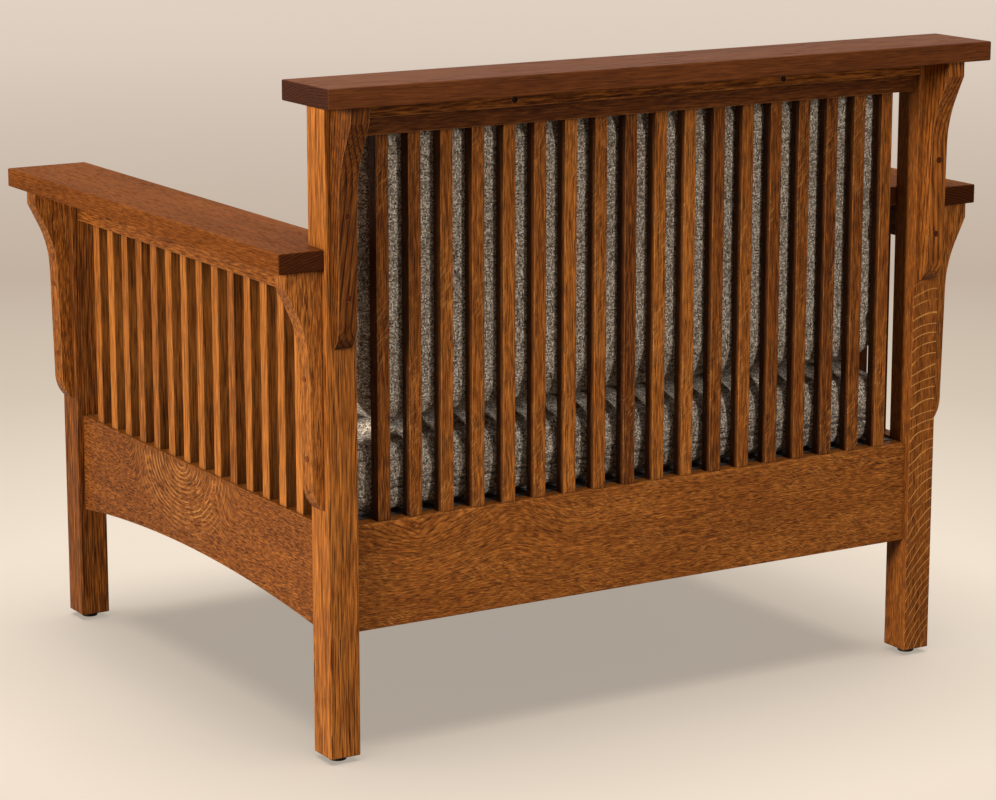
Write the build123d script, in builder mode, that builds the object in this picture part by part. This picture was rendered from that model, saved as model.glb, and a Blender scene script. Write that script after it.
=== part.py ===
from build123d import *
import math
import os

# Spindle-sided oak armchair with a loose seat cushion and a loose back cushion, in millimetres.
# Origin: on the floor, at the middle of the chair's outline. The sitter faces -Y, so left is +X.

# Overall frame
frame_width = 1001.0
frame_depth = 844.5
overall_height = 907.0
glide_height = 8.0

# Posts and legs share one section
post_width = 44.5
post_depth = 47.5
post_arris = 1.6
post_tenon = 20.0
post_tenon_length = 12.0

# Cap and arm boards
board_thickness = 27.0
board_arris = 2.0
board_overhang = 65.5
cap_side_overhang = 29.5
cap_front_overhang = 11.5
arm_top = 692.0
arm_inner_overhang = 15.5
arm_front_overhang = 33.0
arm_end_setback = 4.0

# Rails and aprons
rail_thickness = 25.0
rail_inset = 10.0
top_rail_height = 46.5
apron_top = 320.0
apron_height = 145.0
apron_arch_rise = 23.0
rail_arris = 1.2
tenon_length = 16.0
tenon_thickness = 12.0
tenon_shoulder = 9.0
joint_gap = 0.15
cleat_height = 22.5
cleat_thickness = 10.0

# Spindles
spindle_size = 19.0
spindle_arris = 1.0
back_spindle_count = 18
back_spindle_end_gap = 36.8
side_spindle_count = 14
side_spindle_end_gap = 48.05
spindle_tenon = 11.0
spindle_tenon_length = 9.0

# Corbels: outline as shares of the projection and of the length, from the top of the outer edge
corbel_length = 318.0
corbel_width = 27.0
corbel_setback = 11.5
corbel_lip_share = 0.066
corbel_slope_shares = (0.69, 0.173)
corbel_slim_top_shares = (0.39, 0.374)
corbel_slim_end_shares = (0.32, 0.896)
corbel_tip_share = 0.056
plug_radius = 4.3
plug_depth = 6.0
plug_pride = 0.6
plug_drop_shares = (0.45, 0.785)

# Wood screws
screw_radius = 2.1
screw_head_radius = 4.0
screw_head_height = 3.0
screw_gap = 0.1
corbel_screw_length = 38.0
cap_screw_length = 40.0
cap_screw_count = 4
cap_screw_margin = 46.0
cleat_screw_length = 28.0
cleat_screw_drop = 13.0
cleat_screw_share = 0.476
cleat_bore_radius = 4.5
cleat_bore_depth = 4.0
arm_screw_length = 50.0
arm_screw_counterbore = 14.0
arm_screw_pitch_steps = 6
ledger_screw_length = 40.0
ledger_screw_count = 4
side_ledger_screw_margin = 89.75
cross_ledger_screw_margin = 155.5
seat_screw_length = 42.0
seat_screw_margin = 104.25
block_screw_length = 47.0

# Glides under the feet
glide_radius = 12.0
glide_arris = 1.5
glide_pin_radius = 1.5
glide_pin_length = 15.0

# Ledgers, glue blocks and the drop-in seat frame
ledger_width = 25.0
ledger_height = 25.0
seat_rail_thickness = 22.0
seat_rail_height = 55.0
seat_frame_gap = 1.0
block_reach = 60.0
block_height = 40.0
strap_width = 50.0
strap_thickness = 2.0
strap_count = 7
strap_end_margin = 4.0
deck_cloth_thickness = 1.5
dust_cover_thickness = 1.0
dust_cover_margin = 1.0

# Cushions
cushion_gap = 0.3
seat_cushion_side_gap = 9.0
seat_cushion_front_setback = 4.0
seat_cushion_edge_height = 98.0
seat_cushion_crown = 28.0
seat_cushion_corner = 34.0
seat_cushion_draw = 7.0
back_cushion_side_gap = 22.0
back_cushion_top_gap = 20.0
back_cushion_sink = 6.3
back_cushion_edge_thickness = 118.0
back_cushion_crown = 32.0
back_cushion_corner = 48.0
back_cushion_draw = 8.0

# Where the frame stands, worked out from the sizes above
half_frame = frame_width / 2
overall_depth = frame_depth + arm_front_overhang + board_overhang
back_face = overall_depth / 2 - board_overhang
front_face = back_face - frame_depth
post_x = half_frame - post_width / 2
rear_post_y = back_face - post_depth / 2
front_leg_y = front_face + post_depth / 2
clear_half = half_frame - post_width
post_front = back_face - post_depth
leg_back = front_face + post_depth
side_middle = (post_front + leg_back) / 2
side_half = (post_front - leg_back) / 2
cap_bottom = overall_height - board_thickness
arm_bottom = arm_top - board_thickness
apron_bottom = apron_top - apron_height
back_rail_y = back_face - rail_inset - rail_thickness / 2
front_rail_y = front_face + rail_inset + rail_thickness / 2
side_rail_x = half_frame - rail_inset - rail_thickness / 2
corbel_projection = board_overhang - corbel_setback
plug_drops = [corbel_length * share for share in plug_drop_shares]
inner_x = side_rail_x - rail_thickness / 2
inner_back = back_rail_y - rail_thickness / 2
inner_front = front_rail_y + rail_thickness / 2
sides = (("left", 1), ("right", -1))

# The seat stack from the deck down
seat_back_top = apron_top - deck_cloth_thickness - 2 * strap_thickness
seat_side_top = seat_back_top + strap_thickness
seat_bottom = seat_side_top - seat_rail_height
ledger_bottom = seat_bottom - ledger_height
seat_half = clear_half - seat_frame_gap
seat_back = inner_back - seat_frame_gap
seat_front = inner_front + seat_frame_gap
seat_middle = (seat_back + seat_front) / 2
seat_opening_back = seat_back - seat_rail_thickness
seat_opening_front = seat_front + seat_rail_thickness
seat_opening_half = seat_half - seat_rail_thickness
ledger_inner_x = inner_x - ledger_width

os.makedirs("parts", exist_ok=True)


def keep(piece, name):
    piece.part.label = name
    export_step(piece.part, f"parts/{name}.step")


def block(corner, opposite, mode=Mode.ADD):
    # a box between two opposite corners, added to or cut from the part being built
    sizes = [abs(b - a) for a, b in zip(corner, opposite)]
    middle = [(a + b) / 2 for a, b in zip(corner, opposite)]
    with Locations(tuple(middle)):
        Box(*sizes, mode=mode)


def rod(start, direction, radius, length, mode=Mode.ADD):
    with Locations(Plane(origin=start, z_dir=direction)):
        Cylinder(radius, length, align=(Align.CENTER, Align.CENTER, Align.MIN), mode=mode)


def screw(start, direction, length, gap=0, mode=Mode.ADD):
    # a countersunk screw, or with a gap and Mode.SUBTRACT the hole that it sits in
    rod(start, direction, screw_radius + gap, length + gap, mode)
    with Locations(Plane(origin=start, z_dir=direction)):
        Cone(screw_head_radius + gap, screw_radius + gap, screw_head_height + gap,
             align=(Align.CENTER, Align.CENTER, Align.MIN), mode=mode)


def screw_hole(start, direction, length):
    screw(start, direction, length, screw_gap, Mode.SUBTRACT)


# Tenons, as pairs of opposite corners. A mortise is the same box grown by the joint gap.
def cross_tenon(sign, rail_y, bottom, top, gap=0):
    # on the end of a rail that runs along X
    half = tenon_thickness / 2 + gap
    return ((sign * clear_half, rail_y - half, bottom + tenon_shoulder - gap),
            (sign * (clear_half + tenon_length + gap), rail_y + half, top - tenon_shoulder + gap))


def side_tenon(sign, face, direction, bottom, top, gap=0):
    # on the end of a rail that runs along Y, at the post face where it enters
    half = tenon_thickness / 2 + gap
    x = sign * side_rail_x
    return ((x - half, face, bottom + tenon_shoulder - gap),
            (x + half, face + direction * (tenon_length + gap), top - tenon_shoulder + gap))


def spindle_mortises(z, direction, places):
    # square pockets for the spindle tenons, from a rail's edge into the rail
    half = spindle_tenon / 2 + joint_gap
    for x, y in places:
        block((x - half, y - half, z),
              (x + half, y + half, z + direction * (spindle_tenon_length + joint_gap)), Mode.SUBTRACT)


def row(count, half_span, middle=0):
    # places at even steps from one end of a span to its other end
    return [middle + half_span * (2 * index / (count - 1) - 1) for index in range(count)]


back_spindle_span = clear_half - back_spindle_end_gap - spindle_size / 2
side_spindle_span = side_half - side_spindle_end_gap - spindle_size / 2
back_spindle_places = [(x, back_rail_y) for x in row(back_spindle_count, back_spindle_span)]
side_spindle_rows = row(side_spindle_count, side_spindle_span, side_middle)

cleat_y = back_rail_y + rail_thickness / 2 + cleat_thickness / 2
cleat_bottom = cap_bottom - cleat_height
cap_screws_at = [(x, cleat_y, cleat_bottom) for x in row(cap_screw_count, clear_half - cap_screw_margin)]
cleat_bore_floor = cleat_y + cleat_thickness / 2 - cleat_bore_depth
cleat_screws_at = [(sign * clear_half * cleat_screw_share, cleat_bore_floor, cap_bottom - cleat_screw_drop)
                   for _, sign in sides]


def arm_screws_at(sign):
    # midway between spindles, up through the side top rail
    y_step = arm_screw_pitch_steps * (side_spindle_rows[1] - side_spindle_rows[0])
    z = arm_bottom - top_rail_height + arm_screw_counterbore
    return [(sign * side_rail_x, side_middle + step * y_step, z) for step in (-1, 0, 1)]


def plug_surface(drop):
    # how far the corbel's slim part stands out at a distance below its top
    top_out, top_drop = corbel_slim_top_shares
    end_out, end_drop = corbel_slim_end_shares
    along = (drop / corbel_length - top_drop) / (end_drop - top_drop)
    return corbel_projection * (top_out + (end_out - top_out) * along)


def cap_corbel_fixings(sign):
    # where each plugged screw starts under its plug, the way the plug faces and the way the screw goes
    return [((sign * post_x, back_face + plug_surface(drop) - plug_depth, cap_bottom - drop),
             (0, 1, 0), (0, -1, 0)) for drop in plug_drops]


def arm_corbel_fixings(sign, y):
    return [((sign * (half_frame + plug_surface(drop) - plug_depth), y, arm_bottom - drop),
             (sign, 0, 0), (-sign, 0, 0)) for drop in plug_drops]


def corbel_holes(fixings):
    # through the corbel being built, with the wide end of each hole for its plug
    for start, outward, inward in fixings:
        screw_hole(start, inward, corbel_screw_length)
        rod(start, outward, plug_radius + joint_gap, corbel_projection, Mode.SUBTRACT)


def block_screw(sign, corner_y, inward):
    # from the middle of a glue block's slanted face towards the post's inner corner
    rail_face = inner_back if inward < 0 else inner_front
    start_x = (inner_x + clear_half - block_reach) / 2
    start_y = (corner_y + rail_face + inward * block_reach) / 2
    direction = (sign * (clear_half - start_x), corner_y - start_y, 0)
    return (sign * start_x, start_y, ledger_bottom - block_height / 2), direction


# Rear posts
for side, sign in sides:
    with BuildPart() as rear_post:
        with BuildSketch(Plane.XY.offset(glide_height)):
            with Locations((sign * post_x, rear_post_y)):
                Rectangle(post_width, post_depth)
        extrude(amount=cap_bottom - glide_height)
        fillet(rear_post.edges().filter_by(Axis.Z) + rear_post.edges().group_by(Axis.Z)[0], post_arris)
        with BuildSketch(Plane.XY.offset(cap_bottom)):
            with Locations((sign * post_x, rear_post_y)):
                Rectangle(post_tenon, post_tenon)
        extrude(amount=post_tenon_length)
        for bottom, top in ((apron_bottom, apron_top), (cap_bottom - top_rail_height, cap_bottom)):
            block(*cross_tenon(sign, back_rail_y, bottom, top, joint_gap), Mode.SUBTRACT)
        for bottom, top in ((apron_bottom, apron_top), (arm_bottom - top_rail_height, arm_bottom)):
            block(*side_tenon(sign, post_front, 1, bottom, top, joint_gap), Mode.SUBTRACT)
        for start, _, inward in cap_corbel_fixings(sign) + arm_corbel_fixings(sign, rear_post_y):
            screw_hole(start, inward, corbel_screw_length)
        screw_hole(*block_screw(sign, post_front, -1), block_screw_length)
        rod((sign * post_x, rear_post_y, glide_height), (0, 0, 1),
            glide_pin_radius + joint_gap, glide_pin_length + joint_gap, Mode.SUBTRACT)
    keep(rear_post, f"rear_post_{side}")

# Front legs
for side, sign in sides:
    with BuildPart() as front_leg:
        with BuildSketch(Plane.XY.offset(glide_height)):
            with Locations((sign * post_x, front_leg_y)):
                Rectangle(post_width, post_depth)
        extrude(amount=arm_bottom - glide_height)
        fillet(front_leg.edges().filter_by(Axis.Z) + front_leg.edges().group_by(Axis.Z)[0], post_arris)
        with BuildSketch(Plane.XY.offset(arm_bottom)):
            with Locations((sign * post_x, front_leg_y)):
                Rectangle(post_tenon, post_tenon)
        extrude(amount=post_tenon_length)
        block(*cross_tenon(sign, front_rail_y, apron_bottom, apron_top, joint_gap), Mode.SUBTRACT)
        for bottom, top in ((apron_bottom, apron_top), (arm_bottom - top_rail_height, arm_bottom)):
            block(*side_tenon(sign, leg_back, -1, bottom, top, joint_gap), Mode.SUBTRACT)
        for start, _, inward in arm_corbel_fixings(sign, front_leg_y):
            screw_hole(start, inward, corbel_screw_length)
        screw_hole(*block_screw(sign, leg_back, 1), block_screw_length)
        rod((sign * post_x, front_leg_y, glide_height), (0, 0, 1),
            glide_pin_radius + joint_gap, glide_pin_length + joint_gap, Mode.SUBTRACT)
    keep(front_leg, f"front_leg_{side}")

# Glides, each with its pin
with BuildPart() as leg_glides:
    with BuildSketch():
        with Locations(*[(sign * post_x, y) for _, sign in sides for y in (rear_post_y, front_leg_y)]):
            Circle(glide_radius)
    extrude(amount=glide_height)
    fillet(leg_glides.faces().filter_by(Axis.Z).group_by(Axis.Z)[0].edges(), glide_arris)
    for _, sign in sides:
        for y in (rear_post_y, front_leg_y):
            rod((sign * post_x, y, glide_height), (0, 0, 1), glide_pin_radius, glide_pin_length)
keep(leg_glides, "leg_glides")

# Top cap, a flat board over the rear posts
cap_back = back_face + board_overhang
cap_front = post_front - cap_front_overhang
cap_half = half_frame + cap_side_overhang
with BuildPart() as top_cap:
    block((-cap_half, cap_front, cap_bottom), (cap_half, cap_back, overall_height))
    fillet(top_cap.edges(), board_arris)
    half = post_tenon / 2 + joint_gap
    for _, sign in sides:
        block((sign * post_x - half, rear_post_y - half, cap_bottom),
              (sign * post_x + half, rear_post_y + half, cap_bottom + post_tenon_length + joint_gap),
              Mode.SUBTRACT)
    for start in cap_screws_at:
        screw_hole(start, (0, 0, 1), cap_screw_length)
keep(top_cap, "top_cap")

# Cleat under the cap, behind the top rail
with BuildPart() as crest_cleat:
    block((-clear_half, cleat_y - cleat_thickness / 2, cleat_bottom),
          (clear_half, cleat_y + cleat_thickness / 2, cap_bottom))
    for start in cap_screws_at:
        screw_hole(start, (0, 0, 1), cap_screw_length)
    for start in cleat_screws_at:
        screw_hole(start, (0, -1, 0), cleat_screw_length)
        rod(start, (0, 1, 0), cleat_bore_radius, cleat_thickness, Mode.SUBTRACT)
keep(crest_cleat, "crest_cleat")

# Top rail of the back
back_rail_low = cap_bottom - top_rail_height
with BuildPart() as back_top_rail:
    block((-clear_half, back_rail_y - rail_thickness / 2, back_rail_low),
          (clear_half, back_rail_y + rail_thickness / 2, cap_bottom))
    for _, sign in sides:
        block(*cross_tenon(sign, back_rail_y, back_rail_low, cap_bottom))
    spindle_mortises(back_rail_low, 1, back_spindle_places)
    for start in cleat_screws_at:
        screw_hole(start, (0, -1, 0), cleat_screw_length)
keep(back_top_rail, "back_top_rail")

# Straight back apron
ledger_screw_z = seat_bottom - ledger_height / 2
cross_ledger_screw_row = row(ledger_screw_count, ledger_inner_x - cross_ledger_screw_margin)
side_ledger_screw_row = row(ledger_screw_count, side_half - side_ledger_screw_margin, side_middle)
with BuildPart() as back_apron:
    block((-clear_half, back_rail_y - rail_thickness / 2, apron_bottom),
          (clear_half, back_rail_y + rail_thickness / 2, apron_top))
    fillet(back_apron.edges().filter_by(Axis.X), rail_arris)
    for _, sign in sides:
        block(*cross_tenon(sign, back_rail_y, apron_bottom, apron_top))
    spindle_mortises(apron_top, -1, back_spindle_places)
    for x in cross_ledger_screw_row:
        screw_hole((x, inner_back - ledger_width, ledger_screw_z), (0, 1, 0), ledger_screw_length)
keep(back_apron, "back_apron")


def arched_face(half_length):
    # a board's side view, level on top and arched below, in the middle of the sketch plane
    with BuildLine() as outline:
        Polyline((-half_length, apron_bottom), (-half_length, apron_top),
                 (half_length, apron_top), (half_length, apron_bottom))
        ThreePointArc((half_length, apron_bottom), (0, apron_bottom + apron_arch_rise),
                      (-half_length, apron_bottom))
    make_face(outline.edges())


# Arched front apron
with BuildPart() as front_apron:
    with BuildSketch(Plane.XZ.offset(-inner_front)):
        arched_face(clear_half)
    extrude(amount=rail_thickness)
    fillet(front_apron.edges().filter_by(Axis.X).group_by(Axis.Z)[-1], rail_arris)
    for _, sign in sides:
        block(*cross_tenon(sign, front_rail_y, apron_bottom, apron_top))
    for x in cross_ledger_screw_row:
        screw_hole((x, inner_front + ledger_width, ledger_screw_z), (0, -1, 0), ledger_screw_length)
keep(front_apron, "front_apron")

# Side rails: an arched apron and a top rail under the arm
for side, sign in sides:
    spindle_places = [(sign * side_rail_x, y) for y in side_spindle_rows]
    with BuildPart() as side_apron:
        side_plane = Plane(origin=(sign * side_rail_x - rail_thickness / 2, side_middle, 0),
                           x_dir=(0, 1, 0), z_dir=(1, 0, 0))
        with BuildSketch(side_plane):
            arched_face(side_half)
        extrude(amount=rail_thickness)
        fillet(side_apron.edges().filter_by(Axis.Y).group_by(Axis.Z)[-1], rail_arris)
        block(*side_tenon(sign, post_front, 1, apron_bottom, apron_top))
        block(*side_tenon(sign, leg_back, -1, apron_bottom, apron_top))
        spindle_mortises(apron_top, -1, spindle_places)
        for y in side_ledger_screw_row:
            screw_hole((sign * ledger_inner_x, y, ledger_screw_z), (sign, 0, 0), ledger_screw_length)
    keep(side_apron, f"side_apron_{side}")

    side_rail_low = arm_bottom - top_rail_height
    with BuildPart() as side_top_rail:
        block((sign * side_rail_x - rail_thickness / 2, leg_back, side_rail_low),
              (sign * side_rail_x + rail_thickness / 2, post_front, arm_bottom))
        block(*side_tenon(sign, post_front, 1, side_rail_low, arm_bottom))
        block(*side_tenon(sign, leg_back, -1, side_rail_low, arm_bottom))
        spindle_mortises(side_rail_low, 1, spindle_places)
        for start in arm_screws_at(sign):
            screw_hole(start, (0, 0, 1), arm_screw_length)
            rod(start, (0, 0, -1), screw_head_radius + screw_gap, arm_screw_counterbore, Mode.SUBTRACT)
    keep(side_top_rail, f"side_top_rail_{side}")


def spindle_set(places, low, high):
    with BuildSketch(Plane.XY.offset(low)) as shafts:
        with Locations(*places):
            RectangleRounded(spindle_size, spindle_size, spindle_arris)
    extrude(shafts.sketch, amount=high - low)
    with BuildSketch(Plane.XY.offset(low - spindle_tenon_length)) as tenons:
        with Locations(*places):
            Rectangle(spindle_tenon, spindle_tenon)
    extrude(tenons.sketch, amount=high - low + 2 * spindle_tenon_length)


# Spindles of the back and of each side
with BuildPart() as back_spindles:
    spindle_set(back_spindle_places, apron_top, back_rail_low)
keep(back_spindles, "back_spindles")

for side, sign in sides:
    with BuildPart() as side_spindles:
        spindle_set([(sign * side_rail_x, y) for y in side_spindle_rows], apron_top,
                    arm_bottom - top_rail_height)
    keep(side_spindles, f"side_spindles_{side}")

# Flat arms, each notched round the outer front corner of its rear post
arm_inner = clear_half - arm_inner_overhang
arm_outer = half_frame + board_overhang
arm_front = front_face - arm_front_overhang
arm_end = back_face - arm_end_setback
for side, sign in sides:
    with BuildPart() as arm:
        with BuildSketch(Plane.XY.offset(arm_bottom)):
            with BuildLine():
                Polyline((sign * arm_inner, arm_front), (sign * arm_outer, arm_front),
                         (sign * arm_outer, arm_end), (sign * half_frame, arm_end),
                         (sign * half_frame, post_front), (sign * arm_inner, post_front), close=True)
            make_face()
        extrude(amount=board_thickness)
        # the edges of the notch stay square against the post
        eased = [edge for edge in arm.edges()
                 if abs(edge.center().X) > half_frame + joint_gap or edge.center().Y < post_front - joint_gap]
        fillet(eased, board_arris)
        half = post_tenon / 2 + joint_gap
        block((sign * post_x - half, front_leg_y - half, arm_bottom),
              (sign * post_x + half, front_leg_y + half, arm_bottom + post_tenon_length + joint_gap),
              Mode.SUBTRACT)
        for start in arm_screws_at(sign):
            screw_hole(start, (0, 0, 1), arm_screw_length)
    keep(arm, f"arm_{side}")


def corbel_outline():
    # the wide flat top meets the board above, and the straight edge lies on the post
    lip = (corbel_projection, -corbel_lip_share * corbel_length)
    slope, slim_top, slim_end = [(corbel_projection * out, -corbel_length * down)
                                 for out, down in (corbel_slope_shares, corbel_slim_top_shares,
                                                   corbel_slim_end_shares)]
    tip = (corbel_projection * corbel_tip_share, -corbel_length)
    with BuildLine() as outline:
        Polyline((0, -corbel_length), (0, 0), (corbel_projection, 0), lip)
        upper = Line(lip, slope)
        TangentArc(slope, slim_top, tangent=upper % 1)
        lower = Line(slim_top, slim_end)
        TangentArc(slim_end, tip, tangent=lower % 1)
        Line(tip, (0, -corbel_length))
    make_face(outline.edges())


# Corbels under the arms, on the outer faces of the legs and posts, each with two plugged screws
for side, sign in sides:
    for place, y in (("front", front_leg_y), ("rear", rear_post_y)):
        corbel_plane = Plane(origin=(sign * half_frame, y, arm_bottom), x_dir=(sign, 0, 0),
                             z_dir=(0, -sign, 0))
        with BuildPart() as arm_corbel:
            with BuildSketch(corbel_plane):
                corbel_outline()
            extrude(amount=corbel_width / 2, both=True)
            corbel_holes(arm_corbel_fixings(sign, y))
        keep(arm_corbel, f"arm_corbel_{place}_{side}")

# Corbels under the cap, on the back faces of the rear posts, fixed the same way
for side, sign in sides:
    corbel_plane = Plane(origin=(sign * post_x, back_face, cap_bottom), x_dir=(0, 1, 0), z_dir=(1, 0, 0))
    with BuildPart() as cap_corbel:
        with BuildSketch(corbel_plane):
            corbel_outline()
        extrude(amount=corbel_width / 2, both=True)
        corbel_holes(cap_corbel_fixings(sign))
    keep(cap_corbel, f"cap_corbel_{side}")

corbel_fixings = [fixing for _, sign in sides for fixing in cap_corbel_fixings(sign)
                  + arm_corbel_fixings(sign, rear_post_y) + arm_corbel_fixings(sign, front_leg_y)]
with BuildPart() as corbel_plugs:
    for start, outward, _ in corbel_fixings:
        rod(start, outward, plug_radius, plug_depth + plug_pride)
keep(corbel_plugs, "corbel_plugs")

with BuildPart() as corbel_screws:
    for start, _, inward in corbel_fixings:
        screw(start, inward, corbel_screw_length)
keep(corbel_screws, "corbel_screws")

with BuildPart() as cleat_screws:
    for start in cleat_screws_at:
        screw(start, (0, -1, 0), cleat_screw_length)
keep(cleat_screws, "cleat_screws")

with BuildPart() as cap_screws:
    for start in cap_screws_at:
        screw(start, (0, 0, 1), cap_screw_length)
keep(cap_screws, "cap_screws")

with BuildPart() as arm_screws:
    for _, sign in sides:
        for start in arm_screws_at(sign):
            screw(start, (0, 0, 1), arm_screw_length)
keep(arm_screws, "arm_screws")

# Ledgers on the inner faces of the aprons
seat_screw_x = (ledger_inner_x + seat_half) / 2
seat_screw_rows = [seat_opening_front + seat_screw_margin, seat_opening_back - seat_screw_margin]
for side, sign in sides:
    with BuildPart() as side_ledger:
        block((sign * ledger_inner_x, leg_back, ledger_bottom), (sign * inner_x, post_front, seat_bottom))
        for y in side_ledger_screw_row:
            screw_hole((sign * ledger_inner_x, y, ledger_screw_z), (sign, 0, 0), ledger_screw_length)
        for y in seat_screw_rows:
            screw_hole((sign * seat_screw_x, y, ledger_bottom), (0, 0, 1), seat_screw_length)
    keep(side_ledger, f"seat_ledger_{side}")

for place, face, inward in (("back", inner_back, -1), ("front", inner_front, 1)):
    with BuildPart() as cross_ledger:
        block((-ledger_inner_x, face, ledger_bottom),
              (ledger_inner_x, face + inward * ledger_width, seat_bottom))
        for x in cross_ledger_screw_row:
            screw_hole((x, face + inward * ledger_width, ledger_screw_z), (0, -inward, 0),
                       ledger_screw_length)
    keep(cross_ledger, f"seat_ledger_{place}")

with BuildPart() as ledger_screws:
    for _, sign in sides:
        for y in side_ledger_screw_row:
            screw((sign * ledger_inner_x, y, ledger_screw_z), (sign, 0, 0), ledger_screw_length)
    for face, inward in ((inner_back, -1), (inner_front, 1)):
        for x in cross_ledger_screw_row:
            screw((x, face + inward * ledger_width, ledger_screw_z), (0, -inward, 0), ledger_screw_length)
keep(ledger_screws, "ledger_screws")

# Glue blocks across the frame's corners, notched round the posts, with one screw each
for side, sign in sides:
    for place, corner_y, face, inward in (("rear", post_front, inner_back, -1),
                                          ("front", leg_back, inner_front, 1)):
        with BuildPart() as corner_block:
            with BuildSketch(Plane.XY.offset(ledger_bottom - block_height)):
                with BuildLine():
                    Polyline((sign * inner_x, corner_y + inward * block_reach), (sign * inner_x, corner_y),
                             (sign * clear_half, corner_y), (sign * clear_half, face),
                             (sign * (clear_half - block_reach), face), close=True)
                make_face()
            extrude(amount=block_height)
            screw_hole(*block_screw(sign, corner_y, inward), block_screw_length)
        keep(corner_block, f"corner_block_{place}_{side}")

with BuildPart() as block_screws:
    for _, sign in sides:
        for corner_y, inward in ((post_front, -1), (leg_back, 1)):
            screw(*block_screw(sign, corner_y, inward), block_screw_length)
keep(block_screws, "block_screws")

# Drop-in seat frame: side rails between the front and back rails
for place, outer, inward in (("back", seat_back, -1), ("front", seat_front, 1)):
    with BuildPart() as cross_seat_rail:
        block((-seat_half, outer, seat_bottom),
              (seat_half, outer + inward * seat_rail_thickness, seat_back_top))
    keep(cross_seat_rail, f"seat_rail_{place}")

for side, sign in sides:
    with BuildPart() as side_seat_rail:
        block((sign * seat_opening_half, seat_opening_front, seat_bottom),
              (sign * seat_half, seat_opening_back, seat_side_top))
        for y in seat_screw_rows:
            screw_hole((sign * seat_screw_x, y, ledger_bottom), (0, 0, 1), seat_screw_length)
    keep(side_seat_rail, f"seat_rail_{side}")

with BuildPart() as seat_screws:
    for _, sign in sides:
        for y in seat_screw_rows:
            screw((sign * seat_screw_x, y, ledger_bottom), (0, 0, 1), seat_screw_length)
keep(seat_screws, "seat_screws")

# Seat straps in two layers, and the cloths over and under them
# the outer straps stand half a step inside the opening
strap_span_share = 1 - 1 / strap_count
length_strap_span = seat_opening_half * strap_span_share
cross_strap_span = (seat_opening_back - seat_opening_front) / 2 * strap_span_share
with BuildPart() as lengthwise_straps:
    with BuildSketch(Plane.XY.offset(seat_back_top)):
        with Locations(*[(x, seat_middle) for x in row(strap_count, length_strap_span)]):
            Rectangle(strap_width, seat_back - seat_front - 2 * strap_end_margin)
    extrude(amount=strap_thickness)
keep(lengthwise_straps, "seat_straps_lengthwise")

with BuildPart() as crosswise_straps:
    with BuildSketch(Plane.XY.offset(seat_side_top)):
        with Locations(*[(0, y) for y in row(strap_count, cross_strap_span, seat_middle)]):
            Rectangle(2 * (seat_half - strap_end_margin), strap_width)
    extrude(amount=strap_thickness)
keep(crosswise_straps, "seat_straps_crosswise")

with BuildPart() as deck_cloth:
    block((-seat_half, seat_front, apron_top - deck_cloth_thickness), (seat_half, seat_back, apron_top))
keep(deck_cloth, "deck_cloth")

dust_half = ledger_inner_x - dust_cover_margin
dust_front = inner_front + ledger_width + dust_cover_margin
dust_back = inner_back - ledger_width - dust_cover_margin
with BuildPart() as dust_cover:
    block((-dust_half, dust_front, seat_bottom - dust_cover_thickness), (dust_half, dust_back, seat_bottom))
keep(dust_cover, "dust_cover")


def drawn_outline(half_long, half_short, corner, draw):
    # a round-cornered outline whose four sides pull in between the corners, drawn in one turn
    long_in = half_long - corner
    short_in = half_short - corner
    bend_long = long_in + corner * math.sqrt(0.5)
    bend_short = short_in + corner * math.sqrt(0.5)
    with BuildLine() as outline:
        for a in (1, -1):
            ThreePointArc((a * half_long, a * short_in), (a * bend_long, a * bend_short),
                          (a * long_in, a * half_short))
            ThreePointArc((a * long_in, a * half_short), (0, a * (half_short - draw)),
                          (-a * long_in, a * half_short))
            ThreePointArc((-a * long_in, a * half_short), (-a * bend_long, a * bend_short),
                          (-a * half_long, a * short_in))
            ThreePointArc((-a * half_long, a * short_in), (a * (draw - half_long), 0),
                          (-a * half_long, -a * short_in))
    make_face(outline.edges())


# Layers of a cushion from its flat side to its crown. Below the edge each has its rise as a share of
# the edge height and its inset as a share of the corner radius. Above the edge they are shares of the
# crown and of half the shorter side.
cushion_edge_shares = ((0.0, 0.26), (0.09, 0.05), (0.45, 0.0), (0.86, 0.05))
cushion_crown_shares = ((0.12, 0.02), (0.45, 0.08), (0.78, 0.21), (1.0, 0.44))


def crowned_loft(base, half_long, half_short, edge, crown, corner, draw):
    layers = [(edge * rise, corner * inset) for rise, inset in cushion_edge_shares]
    layers += [(edge + crown * rise, half_short * inset) for rise, inset in cushion_crown_shares]
    sections = []
    for rise, inset in layers:
        with BuildSketch(base.offset(rise)) as layer:
            drawn_outline(half_long - inset, half_short - inset, corner, draw)
        sections.append(layer.sketch)
    loft(sections, ruled=True)


# Seat cushion, on the deck between the legs and the posts
spindle_front = back_rail_y - spindle_size / 2
seat_cushion_back = spindle_front - cushion_gap
seat_cushion_front = front_face + seat_cushion_front_setback
seat_cushion_middle = (seat_cushion_back + seat_cushion_front) / 2
seat_cushion_base = apron_top + cushion_gap
with BuildPart() as seat_cushion:
    crowned_loft(Plane(origin=(0, seat_cushion_middle, seat_cushion_base)),
                 clear_half - seat_cushion_side_gap, (seat_cushion_back - seat_cushion_front) / 2,
                 seat_cushion_edge_height, seat_cushion_crown, seat_cushion_corner, seat_cushion_draw)
keep(seat_cushion, "seat_cushion")

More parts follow.
